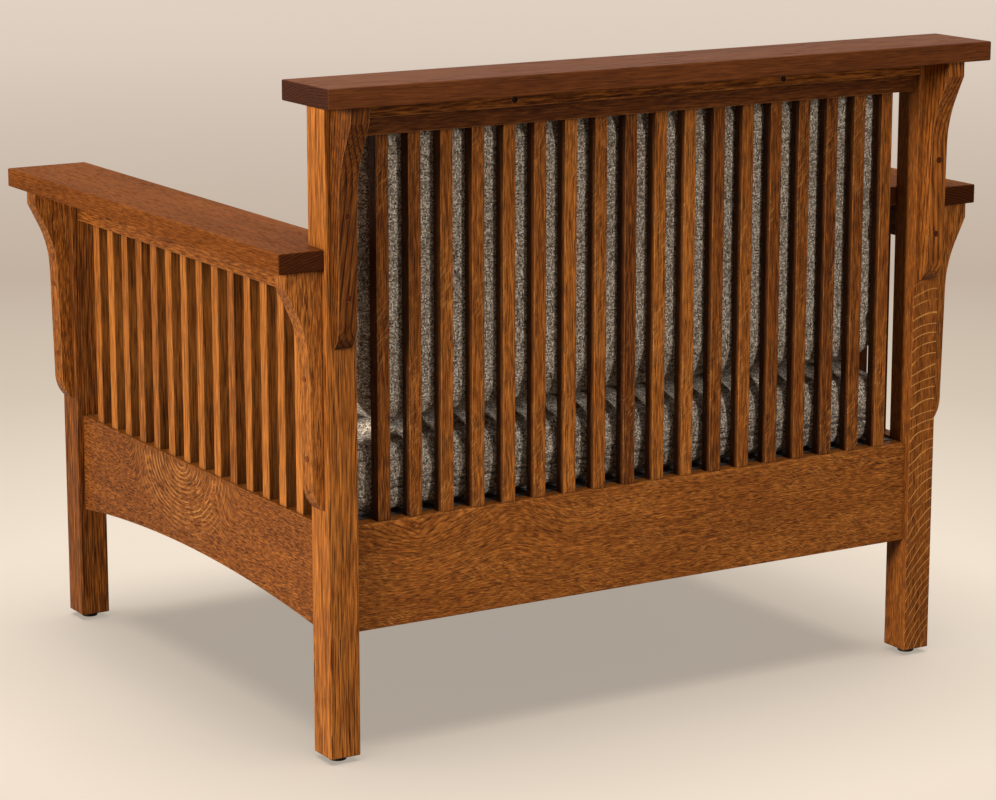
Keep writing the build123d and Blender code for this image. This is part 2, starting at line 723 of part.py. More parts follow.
# Back cushion: its flat side leans on the back's top rail and its crown faces the sitter. Its lower edge
# sinks a little below the seat cushion's crown, where the seat falls away to its back edge.
back_cushion_bottom = seat_cushion_base + seat_cushion_edge_height + seat_cushion_crown - back_cushion_sink
back_cushion_top = cap_bottom - back_cushion_top_gap
back_cushion_middle = (back_cushion_top + back_cushion_bottom) / 2
with BuildPart() as back_cushion:
    crowned_loft(Plane(origin=(0, inner_back - cushion_gap, back_cushion_middle),
                       x_dir=(1, 0, 0), z_dir=(0, -1, 0)),
                 clear_half - back_cushion_side_gap, (back_cushion_top - back_cushion_bottom) / 2,
                 back_cushion_edge_thickness, back_cushion_crown, back_cushion_corner, back_cushion_draw)
keep(back_cushion, "back_cushion")
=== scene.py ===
import math
import bpy
import bmesh
import numpy as np
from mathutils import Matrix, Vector, noise
from mathutils.bvhtree import BVHTree


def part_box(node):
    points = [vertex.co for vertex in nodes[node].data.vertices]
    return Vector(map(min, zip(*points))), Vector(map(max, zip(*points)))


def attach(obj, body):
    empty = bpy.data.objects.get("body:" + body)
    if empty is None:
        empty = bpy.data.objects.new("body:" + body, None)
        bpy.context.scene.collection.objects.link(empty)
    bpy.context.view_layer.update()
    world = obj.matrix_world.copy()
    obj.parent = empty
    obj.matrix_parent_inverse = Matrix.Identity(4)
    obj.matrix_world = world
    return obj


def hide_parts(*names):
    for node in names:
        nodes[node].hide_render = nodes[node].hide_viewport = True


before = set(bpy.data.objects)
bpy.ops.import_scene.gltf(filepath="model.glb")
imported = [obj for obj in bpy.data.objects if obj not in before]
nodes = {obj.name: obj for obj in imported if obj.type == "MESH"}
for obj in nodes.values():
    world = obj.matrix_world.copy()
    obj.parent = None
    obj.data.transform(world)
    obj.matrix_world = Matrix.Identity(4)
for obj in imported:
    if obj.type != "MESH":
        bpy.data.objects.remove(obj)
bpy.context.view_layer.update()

# Oak spindle armchair with loose tweed cushions, metres. The sitter faces -Y, so left is +X.

scene = bpy.context.scene


def colour(red, green, blue):
    # a colour as it looks on screen, turned into the linear values that nodes take
    parts = [c / 255 for c in (red, green, blue)]
    return tuple([c / 12.92 if c <= 0.04045 else ((c + 0.055) / 1.055) ** 2.4 for c in parts] + [1.0])


def placed(name, data):
    made = bpy.data.objects.new(name, data)
    scene.collection.objects.link(made)
    return made


# Node wiring helpers; they all add to the tree that was started last

building = {"tree": None}


def startTree(owner, output):
    # an empty tree with its output node
    owner.use_nodes = True
    tree = building["tree"] = owner.node_tree
    tree.nodes.clear()
    return newNode(output).inputs["Surface"]


def newNode(kind):
    return building["tree"].nodes.new("ShaderNode" + kind)


def link(source, target):
    building["tree"].links.new(source, target)


def newMaterial(name):
    material = bpy.data.materials.new(name)
    surface = startTree(material, "OutputMaterial")
    shader = newNode("BsdfPrincipled")
    link(shader.outputs[0], surface)
    return material, shader


def plainLook(shader, tone, pattern, rough, relief, gloss=None):
    # colour, and a roughness and a relief that follow one pattern
    link(tone, shader.inputs["Base Color"])
    link(smooth(pattern, 0.3, 0.7, *rough), shader.inputs["Roughness"])
    if relief:
        link(add("Bump", {"Height": pattern, "Distance": relief}), shader.inputs["Normal"])
    if gloss is not None:
        shader.inputs["Specular IOR Level"].default_value = gloss


def objectSpace():
    return newNode("TexCoord").outputs["Object"]


def alongGrain(point, name, grain):
    # the point from the piece's middle, turned so that the first value runs along the grain
    local = vector("SUBTRACT", point, boxMiddle(name))
    turn = [math.radians(angle) for angle in grainTurn[grain]]
    return local, add("Mapping", {"Vector": local, "Rotation": turn})


def add(kind, inputs, out=0, **settings):
    # a node with its inputs linked or filled in; gives back one of its outputs
    made = newNode(kind)
    for key, value in settings.items():
        setattr(made, key, value)
    for key, value in inputs.items():
        if isinstance(value, bpy.types.NodeSocket):
            link(value, made.inputs[key])
        else:
            made.inputs[key].default_value = value
    return made.outputs[out]


def calc(operation, *values, clamp=False):
    return add("Math", dict(enumerate(values)), operation=operation, use_clamp=clamp)


def plus(first, second):
    return calc("ADD", first, second)


def minus(first, second):
    return calc("SUBTRACT", first, second)


def times(first, *others):
    for other in others:
        first = calc("MULTIPLY", first, other)
    return first


def weighed(value, weight, base):
    return calc("MULTIPLY_ADD", value, weight, base)


def mixIn(value, middle, weight, base):
    # the base plus the value's distance from its middle, weighted
    return weighed(minus(value, middle), weight, base)


def lengthOf(first, second):
    return calc("SQRT", plus(times(first, first), times(second, second)))


def vector(operation, *values, out=0):
    return add("VectorMath", dict(enumerate(values)), out, operation=operation)


def stretch(point, scale):
    return vector("MULTIPLY", point, scale)


def parts(point):
    made = newNode("SeparateXYZ")
    link(point, made.inputs[0])
    return made.outputs


def noiseAt(point, scale=1.0, detail=2.0, rough=0.5, out=0):
    return add("TexNoise", {"Vector": point, "Scale": scale, "Detail": detail, "Roughness": rough}, out)


def grainy(point, scale, detail):
    return noiseAt(stretch(point, scale), detail=detail)


def driftAt(point, scale, detail, amount):
    # a random push of up to about half the amount each way
    noisy = noiseAt(stretch(point, scale), detail=detail, out=1)
    return stretch(vector("SUBTRACT", noisy, (0.5, 0.5, 0.5)), amount)


def smooth(value, low, high, toLow=0.0, toHigh=1.0):
    limits = {"Value": value, "From Min": low, "From Max": high, "To Min": toLow, "To Max": toHigh}
    return add("MapRange", limits, interpolation_type="SMOOTHSTEP")


def blend(amount, first, second, mode="MIX"):
    return add("Mix", {0: amount, 6: first, 7: second}, 2, data_type="RGBA", blend_type=mode)


def ramp(value, stops):
    made = newNode("ValToRGB")
    link(value, made.inputs[0])
    points = made.color_ramp.elements
    while len(points) < len(stops):
        points.new(0.5)
    for point, (place, shade) in zip(points, stops):
        point.position, point.color = place, shade
    return made.outputs[0]


def lines(phase, thin, soft):
    # a thin line at every whole step of the phase
    saw = calc("ABSOLUTE", minus(calc("FRACT", phase), 0.5))
    return smooth(saw, thin, soft, 1.0, 0.0)


# Camera, placed by matching the frame's corners to the photograph's

cameraView = {"place": (2.4305, 4.0056, 1.4025), "turn": 31.29, "tilt": 12.524, "lens": 117.1}
camera = placed("view_camera", bpy.data.cameras.new("view_camera"))
scene.camera = camera
camera.location = cameraView["place"]
camera.rotation_euler = (math.radians(90 - cameraView["tilt"]), 0, math.radians(180 - cameraView["turn"]))
camera.data.lens = cameraView["lens"]
camera.data.clip_end = 60
print("stage: camera")


# Oak: dashes of open pores along the grain, growth rings, wavy figure and ray flecks, with painted shade in
# the corners and a painted highlight on the arrises, broken up like wear

oakTones = {
    "deep": colour(62, 28, 9),
    "body": colour(124, 69, 25),
    "glow": colour(182, 111, 46),
    "pore": colour(38, 17, 7),
    "ray": colour(212, 150, 80),
    "end": colour(88, 46, 20),
    # pale colour of the painted highlight on the arrises
    "arris": colour(205, 140, 76),
}
grainTurn = {"X": (0, 0, 0), "Y": (0, 0, -90), "Z": (0, 90, 0)}
oakPlain = {
    "grain": "Z",  # the axis that it follows
    "dash": (15, 300),  # how many dashes to the metre, along and across the grain
    "force": 1.0,  # strength of the dashes and patches
    "wander": 0.010, "wave": 0.0,  # how far the grain strays, slowly and in ripples
    "heart": (0.09, 0.03),  # middle of the growth rings
    "ring": 0.0036, "ringForce": 0.08,  # their step and depth
    "tilt": (0, 0, 0),  # cut at an angle to the grain
    "corners": (0.016, 0.2, 0.8, 0.7),  # painted shade in corners and between close parts, with some stain pooled in the joints: reach, two limits, depth
    "stroke": 0.0,  # short ray flecks
    "fleck": None,  # long ray flecks on one face
    "swirl": None,  # grain bowed round a place on the board
    "row": None,  # axis and pitch of a row of sticks, each with its own grain
    "seed": 0.0, "tone": 0.0, "stain": (1.0, 1.0, 1.0), "gloss": 0.06, "polish": 0.45,
}
depthShare = {"middle": 0.58, "dashes": 2.0, "bands": 0.35, "patches": 0.35, "pores": 0.62, "sticks": 0.36}
arris = {"radius": 0.0015, "flat": 0.98, "sharp": 0.82}
grainRelief = 0.00022
# scale along and across the grain, detail, and the limits between none of the pattern and all of it
patterns = {
    "rayGaps": ((60, 44, 44), 1, (0.26, 0.48)), "swirlGaps": ((40, 60, 60), 2, (0.36, 0.60)),
    "strokes": ((80, 130, 520), 2, (0.54, 0.68)), "strokePlaces": ((7, 16, 16), 1, (0.42, 0.62)),
    "endRays": ((300, 60, 900), 2, (0.60, 0.72)), "rubAndHighlight": ((30, 60, 60), 2, (0.3, 0.55, 0.3, 0.75)),
}


def patchy(point, pattern):
    scale, detail, limits = patterns[pattern]
    return smooth(grainy(point, scale, detail), *limits)


def boxMiddle(name):
    low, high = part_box(name)
    return [(a + b) / 2 for a, b in zip(low, high)]


def swirlGrain(level, swirl):
    # level lines bow into bowls under one place; gives the bent grain and how near the place is
    across, up, reach, squeeze = swirl["place"]
    split = parts(level)
    sideways = times(minus(split[0], across), squeeze)
    upwards = minus(split[2], up)
    away = lengthOf(sideways, upwards)
    near = smooth(away, reach * 0.5, reach, 1.0, 0.0)
    bend = times(near, swirl["bend"])
    height = minus(split[2], times(plus(away, upwards), bend))
    under = smooth(upwards, -0.012, 0.004, 1.0, 0.0)
    bent = add("CombineXYZ", {0: split[0], 1: split[1], 2: height})
    return bent, away, times(near, under)


def rayLines(turned, normal, fleck):
    # long pale lines over one face, steeper at the foot than higher up
    split = parts(turned)
    side = split[2] if fleck["face"] == 1 else split[1]
    (low, steep), (high, flat) = fleck["slopes"]
    rise = times(smooth(split[0], low, high, steep, flat), side)
    bow = times(side, side, 6.0)
    level = plus(minus(split[0], rise), bow)
    uneven = times(grainy(turned, (30, 10, 10), 1), 1.3)
    phase = plus(calc("DIVIDE", level, fleck["pitch"]), uneven)
    found = lines(phase, 0.015, 0.075)
    broken = patchy(turned, "rayGaps")
    facing = calc("ABSOLUTE", parts(normal)[fleck["face"]])
    below = smooth(split[0], fleck["top"] - 0.02, fleck["top"] + 0.02, 1.0, 0.0)
    return times(found, broken, below, smooth(facing, 0.5, 0.9, 0.0, fleck["amount"]))


def ownCut(turned, local, look):
    # each piece, and each stick of a row, gets its own cut of timber and its own tone
    seeded = vector("ADD", turned, [look["seed"] * step for step in (1.7, 0.93, 1.31)])
    if not look["row"]:
        return seeded, look["tone"]
    axis, pitch = look["row"]
    stick = calc("FLOOR", calc("DIVIDE", parts(local)[axis], pitch))
    chance = newNode("TexWhiteNoise")
    chance.noise_dimensions = "1D"
    link(plus(stick, look["seed"]), chance.inputs["W"])
    tone = mixIn(chance.outputs["Value"], 0.5, depthShare["sticks"], look["tone"])
    return vector("ADD", seeded, stretch(chance.outputs["Color"], (3.0, 0.4, 0.7))), tone


def grainSpace(turned, seeded, look):
    # slow wander, ripples, then the swirl; gives how far and how near the swirl's place is, too
    strays = driftAt(seeded, (1.6, 9, 9), 1, (0, look["wander"] * 2, look["wander"] * 2))
    level = vector("ADD", turned, strays)
    if look["wave"]:
        ripple = driftAt(seeded, (24, 40, 40), 2, (0, look["wave"], look["wave"]))
        level = vector("ADD", level, ripple)
    return swirlGrain(level, look["swirl"]) if look["swirl"] else (level, None, None)


def growthRings(level, look):
    # one where a ring starts with its open early wood, fading to none
    split = parts(level)
    radius = lengthOf(minus(split[1], look["heart"][0]), minus(split[2], look["heart"][1]))
    turns = plus(calc("DIVIDE", radius, look["ring"]), noiseAt(radius, 60, 1))
    return smooth(calc("FRACT", turns), 0.0, 0.5, 1.0, 0.0)


def paleFigure(turned, seeded, normal, look, bowl, near):
    # amounts of pale fleck: short strokes, long lines on one face, arcs of the swirl
    found = []
    if look["stroke"]:
        leaning = add("Mapping", {"Vector": seeded, "Rotation": (0, 0.62, 0)})
        found.append(times(patchy(leaning, "strokes"), patchy(seeded, "strokePlaces"), look["stroke"]))
    if look["fleck"]:
        found.append(rayLines(turned, normal, look["fleck"]))
    swirl = look["swirl"]
    if swirl and swirl["amount"]:
        arcs = lines(calc("DIVIDE", bowl, swirl["step"]), 0.05, 0.26)
        found.append(times(arcs, near, patchy(turned, "swirlGaps"), swirl["amount"]))
    return found


def endGrain(face, timber, early, normal, grain):
    # darker, with the rings as arcs and the rays as short lines; the mask reaches well onto slanted faces,
    # which gives the corbels' curved, downward faces painted shade as well
    endwise = smooth(calc("ABSOLUTE", parts(normal)["XYZ".index(grain)]), 0.3, 0.8)
    rings = blend(early, oakTones["end"], oakTones["pore"])
    endFace = blend(times(patchy(timber, "endRays"), 0.7), rings, oakTones["body"])
    return blend(endwise, face, endFace)


def stainedShadedAndLit(face, edge, look):
    # stain colours the wood; painted shade darkens the corners, creases and faces between close parts, with
    # some stain pooled in the joints; the arrises get a painted highlight, broken up like wear
    reach, low, high, most = look["corners"]
    # painted shade where the surface is closed in by other parts
    corner = add("AmbientOcclusion", {"Distance": reach}, 1, samples=6)
    face = blend(smooth(corner, low, high, most, 0.0), face, oakTones["pore"])
    if look["stain"] != (1.0, 1.0, 1.0):
        face = blend(1.0, face, look["stain"] + (1.0,), "MULTIPLY")
    # painted highlight along the arrises, broken up like wear
    return blend(edge, face, oakTones["arris"])


def oak(name, **changes):
    look = dict(oakPlain, **changes)
    material, shader = newMaterial("oak_" + name)
    texture = newNode("TexCoord").outputs
    local, turned = alongGrain(texture["Object"], name, look["grain"])
    if any(look["tilt"]):
        turned = add("Mapping", {"Vector": turned, "Rotation": look["tilt"]})
    seeded, tone = ownCut(turned, local, look)
    level, bowl, near = grainSpace(turned, seeded, look)
    early = growthRings(level, look)
    timber = vector("ADD", level, vector("SUBTRACT", seeded, turned))
    along, across = look["dash"]

    def streaks(lengthwise, crosswise, detail, rough=0.5):
        return noiseAt(stretch(timber, (lengthwise, crosswise, crosswise)), detail=detail, rough=rough)

    dashes = streaks(along, across, 4, 0.6)
    bands = streaks(along * 0.16, across * 0.3, 2)
    patches = streaks(3.0, 24, 2)
    pores = streaks(along * 0.8, across * 1.2, 1)
    pores = smooth(weighed(early, 0.06, pores), 0.57, 0.65)  # more of them in early wood
    force = look["force"]
    depth = mixIn(dashes, 0.5, depthShare["dashes"] * force, depthShare["middle"])
    depth = mixIn(bands, 0.5, depthShare["bands"] * force, depth)
    depth = mixIn(patches, 0.5, depthShare["patches"], depth)
    depth = weighed(early, -look["ringForce"] * force, depth)
    depth = calc("ADD", depth, tone, clamp=True)
    face = ramp(depth, [(0.08, oakTones["deep"]), (0.5, oakTones["body"]), (0.95, oakTones["glow"])])
    face = blend(times(pores, depthShare["pores"] * min(force, 1.0)), face, oakTones["pore"])
    relief = weighed(dashes, 0.5, times(pores, -0.8))
    for amount in paleFigure(turned, seeded, texture["Normal"], look, bowl, near):
        face = blend(amount, face, oakTones["ray"])
        relief = weighed(amount, 0.4, relief)
    face = endGrain(face, timber, early, texture["Normal"], look["grain"])
    # arrises are rounded in the shading, and a mask along them carries a painted highlight, broken up like
    # wear
    rounded = add("Bevel", {"Radius": arris["radius"]}, samples=4)
    same = vector("DOT_PRODUCT", rounded, newNode("NewGeometry").outputs["Normal"], out=1)
    edge = times(smooth(same, arris["flat"], arris["sharp"]), patchy(turned, "rubAndHighlight"))
    link(stainedShadedAndLit(face, edge, look), shader.inputs["Base Color"])
    rough = weighed(dashes, 0.10, look["polish"] - 0.05)
    link(weighed(pores, 0.2, rough), shader.inputs["Roughness"])
    bump = add("Bump", {"Height": relief, "Distance": grainRelief, "Strength": 0.8, "Normal": rounded})
    link(bump, shader.inputs["Normal"])
    shader.inputs["Specular IOR Level"].default_value = look["gloss"]
    return material


def paint(name, material):
    for held in nodes[name].material_slots:
        held.material = material


# the side rails are darker all over, and get deep painted shade under the arms
railLook = dict(
    grain="Y", dash=(50, 500), force=0.8, corners=(0.05, 0.35, 0.95, 0.75), stain=(0.80, 0.76, 0.74))
armLook = dict(
    grain="Y", dash=(55, 560), force=0.5, wave=0.003, stain=(0.57, 0.52, 0.56), gloss=0.015, polish=0.5)
# deeper painted shade on the faces that look onto the next spindle
spindleLook = dict(corners=(0.06, 0.5, 0.96, 0.75))
corbelLook = dict(dash=(50, 520))
postFleck = {"amount": 0.72, "pitch": 0.016, "face": 1, "top": 0.10, "slopes": ((-0.38, 1.25), (-0.05, 0.22))}
pieces = {
    "rear_post_left": dict(seed=1, dash=(20, 560), force=1.1, heart=(0.02, 0.16), tone=0.06),
    "rear_post_right": dict(
        seed=2, dash=(60, 560), force=0.7, heart=(0.14, 0.01), tone=-0.11, fleck=postFleck),
    "front_leg_left": dict(seed=3, dash=(24, 560), heart=(0.06, 0.12), tone=-0.19),
    "front_leg_right": dict(
        seed=4, dash=(50, 540), heart=(0.13, 0.05),
        fleck=dict(postFleck, amount=0.4, slopes=((-0.3, 0.9), (0.2, 0.5)))),
    "top_cap": dict(
        grain="X", seed=5, dash=(30, 460), force=0.38, heart=(0.05, -0.19), stain=(0.40, 0.35, 0.42),
        gloss=0.075, polish=0.5),
    "crest_cleat": dict(
        grain="X", seed=6, dash=(30, 300), force=1.25, heart=(0.1, 0.02), stain=(0.72, 0.68, 0.62)),
    # darker all over: partly the rail's own stain, partly painted shade under the cap's overhang
    "back_top_rail": dict(
        grain="X", seed=7, dash=(40, 420), force=0.7, heart=(0.02, 0.11), stain=(0.42, 0.38, 0.44)),
    "back_apron": dict(
        grain="X", seed=8, dash=(75, 620), force=0.85, wave=0.006, heart=(0.02, 0.30), tone=-0.03,
        stroke=0.26, swirl=dict(place=(0.36, 0.05, 0.15, 0.6), bend=0.35, amount=0.0)),
    "front_apron": dict(
        grain="X", seed=9, dash=(105, 480), force=0.95, wave=0.006, heart=(0.04, 0.28), stroke=0.14,
        swirl=dict(place=(-0.12, 0.07, 0.12, 0.8), bend=0.7, amount=0.22, step=0.0066)),
    "side_apron_left": dict(
        grain="Y", seed=10, dash=(100, 500), force=0.8, wave=0.004, heart=(0.03, 0.26), tone=-0.17,
        swirl=dict(place=(-0.038, 0.072, 0.13, 0.7), bend=0.8, amount=0.36, step=0.0068)),
    "side_apron_right": dict(
        grain="Y", seed=11, dash=(100, 500), force=0.9, wave=0.005, heart=(0.02, 0.24), stroke=0.12,
        swirl=dict(place=(0.12, 0.06, 0.12, 0.75), bend=0.7, amount=0.22, step=0.0064)),
    "side_top_rail_left": dict(railLook, seed=12, heart=(0.03, 0.12)),
    "side_top_rail_right": dict(railLook, seed=13, heart=(0.05, 0.12)),
    "arm_left": dict(armLook, seed=14, heart=(0.04, -0.21)),
    "arm_right": dict(armLook, seed=15, heart=(-0.03, -0.24)),
    "back_spindles": dict(
        spindleLook, row=(0, 0.0482), seed=4, dash=(38, 540), force=0.9, heart=(0.07, 0.05), wave=0.004,
        stroke=0.3, tone=-0.08),
    "side_spindles_left": dict(
        spindleLook, row=(1, 0.0488), seed=31, dash=(22, 560), heart=(0.06, 0.08), tone=0.14),
    "side_spindles_right": dict(
        spindleLook, row=(1, 0.0488), seed=57, dash=(24, 560), force=0.9, heart=(0.08, 0.06), stroke=0.12),
    "cap_corbel_left": dict(
        seed=16, dash=(24, 420), force=0.8, heart=(0.25, 0.20), tone=0.04, ring=0.0052,
        ringForce=0.6, tilt=(0, 0.14, 0), stain=(0.48, 0.44, 0.40)),
    "cap_corbel_right": dict(
        seed=17, dash=(24, 440), force=0.8, heart=(0.22, -0.24), tone=0.12, ring=0.0050,
        ringForce=0.5, tilt=(0, -0.10, 0), stain=(0.84, 0.78, 0.70)),
    "arm_corbel_front_left": dict(corbelLook, seed=18, dash=(60, 520), heart=(0.02, 0.12), tone=-0.02),
    "arm_corbel_rear_left": dict(corbelLook, seed=19, heart=(0.03, 0.14)),
    "arm_corbel_front_right": dict(corbelLook, seed=20, heart=(0.04, 0.12)),
    "arm_corbel_rear_right": dict(corbelLook, seed=21, heart=(0.02, 0.13), tone=0.03),
}
for name, look in pieces.items():
    paint(name, oak(name, **look))
print("stage: oak")


# Steel screws, blackened ones in the cleat, and the nylon glides

def speckled(name, scale, stops, rough, relief=None, gloss=None, metal=0.0):
    material, shader = newMaterial(name)
    cloud = noiseAt(objectSpace(), *scale)
    plainLook(shader, ramp(cloud, stops), cloud, rough, relief, gloss)
    shader.inputs["Metallic"].default_value = metal
    return material


zincPlate = speckled("zinc_plate", (420, 3), [(0.3, colour(150, 146, 132)), (0.7, colour(205, 204, 198))],
                     (0.28, 0.45), 0.0001, metal=1.0)
blackSteel = speckled("black_steel", (420, 3), [(0.3, colour(22, 19, 17)), (0.7, colour(52, 46, 41))],
                      (0.42, 0.59), 0.0001, metal=1.0)
glideNylon = speckled("glide_nylon", (900, 3), [(0.35, colour(14, 13, 13)), (0.75, colour(38, 36, 34))],
                      (0.5, 0.7), 0.00008, gloss=0.15)
for name in ("corbel_screws", "cap_screws", "arm_screws", "ledger_screws", "block_screws", "seat_screws"):
    paint(name, zincPlate)
paint("cleat_screws", blackSteel)
paint("leg_glides", glideNylon)


# Inner timber that is never stained: ledgers, corner blocks and the drop-in seat frame

def plainWood(name, grain, seed):
    material, shader = newMaterial("hardwood_" + name)
    turned = alongGrain(objectSpace(), name, grain)[1]
    turned = vector("ADD", turned, [seed * step for step in (1.3, 0.7, 0.9)])
    fibre = grainy(turned, (14, 420, 420), 3)
    growth = grainy(turned, (2.5, 60, 60), 2)
    tone = weighed(fibre, 0.6, times(growth, 0.5))
    tones = [(0.35, colour(138, 104, 68)), (0.6, colour(182, 148, 106)), (0.8, colour(206, 176, 134))]
    face = ramp(tone, tones)
    plainLook(shader, face, fibre, (0.7, 0.85), 0.0003, gloss=0.25)
    return material


sides = {"left": "Y", "right": "Y", "front": "X", "back": "X"}
blocks = ("front_left", "front_right", "rear_left", "rear_right")
insideGrain = {"seat_ledger_" + side: grain for side, grain in sides.items()}
insideGrain.update({"corner_block_" + corner: "X" for corner in blocks})
insideGrain.update({"seat_rail_" + side: grain for side, grain in sides.items()})
for seed, (name, grain) in enumerate(insideGrain.items()):
    paint(name, plainWood(name, grain, seed + 1))


def plugOak():
    # the plugs under the arms, farther out, are lighter than those under the cap
    material, shader = newMaterial("oak_plugs")
    place = objectSpace()
    grain = grainy(place, (420, 420, 60), 3)
    dark = ramp(grain, [(0.3, colour(40, 17, 8)), (0.75, colour(88, 40, 18))])
    light = ramp(grain, [(0.3, colour(76, 38, 14)), (0.75, colour(128, 70, 27))])
    outside = smooth(calc("ABSOLUTE", parts(place)[0]), 0.495, 0.505)
    plainLook(shader, blend(outside, dark, light), grain, (0.5, 0.65), 0.0002, gloss=0.04)
    return material


paint("corbel_plugs", plugOak())
print("stage: metal, nylon and inner timber")


# Tweed: a plain weave of flecked yarns on the piece's own map, in metres

tweedLook = {"yarn": 0.0020, "slub": 4.0, "dark": colour(80, 68, 57), "mid": colour(169, 151, 131),
             "pale": colour(247, 237, 221)}
canvasLook = {"yarn": 0.0011, "slub": 9.0, "dark": colour(38, 30, 24), "mid": colour(58, 47, 38),
              "pale": colour(78, 65, 53)}
feltLook = {"yarn": 0.0009, "slub": 6.0, "dark": colour(14, 14, 14), "mid": colour(26, 26, 26),
            "pale": colour(40, 40, 39)}
webbingLook = {"yarn": 0.0016, "slub": 12.0, "dark": colour(60, 48, 34), "mid": colour(126, 106, 78),
               "pale": colour(160, 138, 104)}


def wovenCloth(name, look, relief, seams=True):
    material, shader = newMaterial(name)
    spot = add("UVMap", {}, uv_map="weave")
    rough = noiseAt(spot, 160, 2, out=1)
    wobble = stretch(vector("SUBTRACT", rough, (0.5, 0.5, 0.5)), (0.0009, 0.0009, 0))
    shifted = vector("ADD", spot, wobble)
    across, along = parts(vector("DIVIDE", shifted, (look["yarn"], look["yarn"], 1)))[:2]
    column, rowNumber = calc("FLOOR", across), calc("FLOOR", along)
    inColumn, inRow = calc("FRACT", across), calc("FRACT", along)
    over = calc("MODULO", plus(plus(column, rowNumber), 20000), 2)
    over = calc("GREATER_THAN", over, 0.5)

    def yarn(crosswise, lengthwise, number, seed):
        # roundness across the yarn, its rise over the next one, and the fleck colour of this stretch of it
        side = minus(crosswise, 0.5)
        width = minus(1.0, times(side, side, 3.2))
        lift = calc("SINE", times(calc("FRACT", lengthwise), math.pi))
        height = times(calc("MAXIMUM", width, 0.0), weighed(lift, 0.7, 0.3))
        start = add("TexWhiteNoise", {"W": plus(number, seed)}, noise_dimensions="1D")
        run = weighed(start, 50.0, lengthwise)
        stretchNumber = calc("FLOOR", calc("DIVIDE", run, look["slub"]))
        join = add("CombineXYZ", {0: number, 1: plus(stretchNumber, seed)})
        return height, add("TexWhiteNoise", {"Vector": join}, noise_dimensions="2D")

    warpHeight, warpPick = yarn(inColumn, along, column, 11.3)
    weftHeight, weftPick = yarn(inRow, across, rowNumber, 47.9)
    height = add("Mix", {0: over, 2: warpHeight, 3: weftHeight}, 0, data_type="FLOAT")
    pick = add("Mix", {0: over, 2: warpPick, 3: weftPick}, 0, data_type="FLOAT")
    crossing = add("CombineXYZ", {0: column, 1: rowNumber})
    speck = add("TexWhiteNoise", {"Vector": crossing}, noise_dimensions="2D")
    fibre = noiseAt(spot, 2600, 2)
    shade = plus(times(pick, 0.34), times(speck, 0.50))
    shade = minus(weighed(fibre, 0.3, shade), 0.07)
    yarnColour = ramp(shade, [(0.2, look["dark"]), (0.52, look["mid"]), (0.84, look["pale"])])
    shadow = smooth(height, 0.05, 0.6, 0.45, 1.0)
    worn = noiseAt(spot, 9, 2)
    shadow = times(shadow, smooth(worn, 0.3, 0.7, 0.92, 1.06))
    fuzzy = weighed(fibre, 0.3, height)
    bump = add("Bump", {"Height": fuzzy, "Distance": relief, "Strength": 0.9})
    if seams:
        seam = add("Attribute", {}, 2, attribute_name="seamGap")  # metres from the nearest seam
        fold = smooth(seam, 0.0003, 0.0028)
        shadow = times(shadow, weighed(fold, 0.6, 0.4))
        bump = add("Bump", {"Height": smooth(seam, 0.0, 0.007), "Distance": 0.0032, "Normal": bump})
    tint = add("CombineColor", {0: shadow, 1: shadow, 2: shadow})
    link(blend(1.0, yarnColour, tint, "MULTIPLY"), shader.inputs["Base Color"])
    link(smooth(fibre, 0.2, 0.8, 0.82, 0.95), shader.inputs["Roughness"])
    link(bump, shader.inputs["Normal"])
    shader.inputs["Sheen Weight"].default_value = 0.12
    shader.inputs["Sheen Roughness"].default_value = 0.5
    shader.inputs["Specular IOR Level"].default_value = 0.15
    return material


tweedCloth = wovenCloth("flecked_tweed", tweedLook, 0.0007)
deckCanvas = wovenCloth("deck_canvas", canvasLook, 0.0003, seams=False)
dustFelt = wovenCloth("dust_felt", feltLook, 0.0002, seams=False)
webbing = wovenCloth("strap_webbing", webbingLook, 0.0004, seams=False)
thread = speckled("beige_thread", (3200, 2), [(0.3, colour(112, 98, 82)), (0.7, colour(188, 174, 152))],
                  (0.6, 0.8))
print("stage: cloth")


# Making and finishing meshes

def objectFrom(name, shape):
    mesh = bpy.data.meshes.new(name)
    shape.to_mesh(mesh)
    shape.free()
    return placed(name, mesh)


def applyModifiers(holder):
    bpy.context.view_layer.update()
    held = holder.evaluated_get(bpy.context.evaluated_depsgraph_get())
    mesh = bpy.data.meshes.new_from_object(held)
    old = holder.data
    holder.modifiers.clear()
    holder.data = mesh
    bpy.data.meshes.remove(old)


def onlyMaterial(holder, material):
    holder.data.materials.clear()
    holder.data.materials.append(material)


def coordinates(mesh):
    values = np.empty(len(mesh.vertices) * 3)
    mesh.vertices.foreach_get("co", values)
    return values.reshape(-1, 3)


def setCoordinates(mesh, points):
    mesh.vertices.foreach_set("co", points.ravel())


def keepSeamGap(mesh, gaps):
    mesh.attributes.new("seamGap", "FLOAT", "POINT").data.foreach_set("value", gaps)


# Anything set at even steps along a path: stitches, staples

barSides = 6


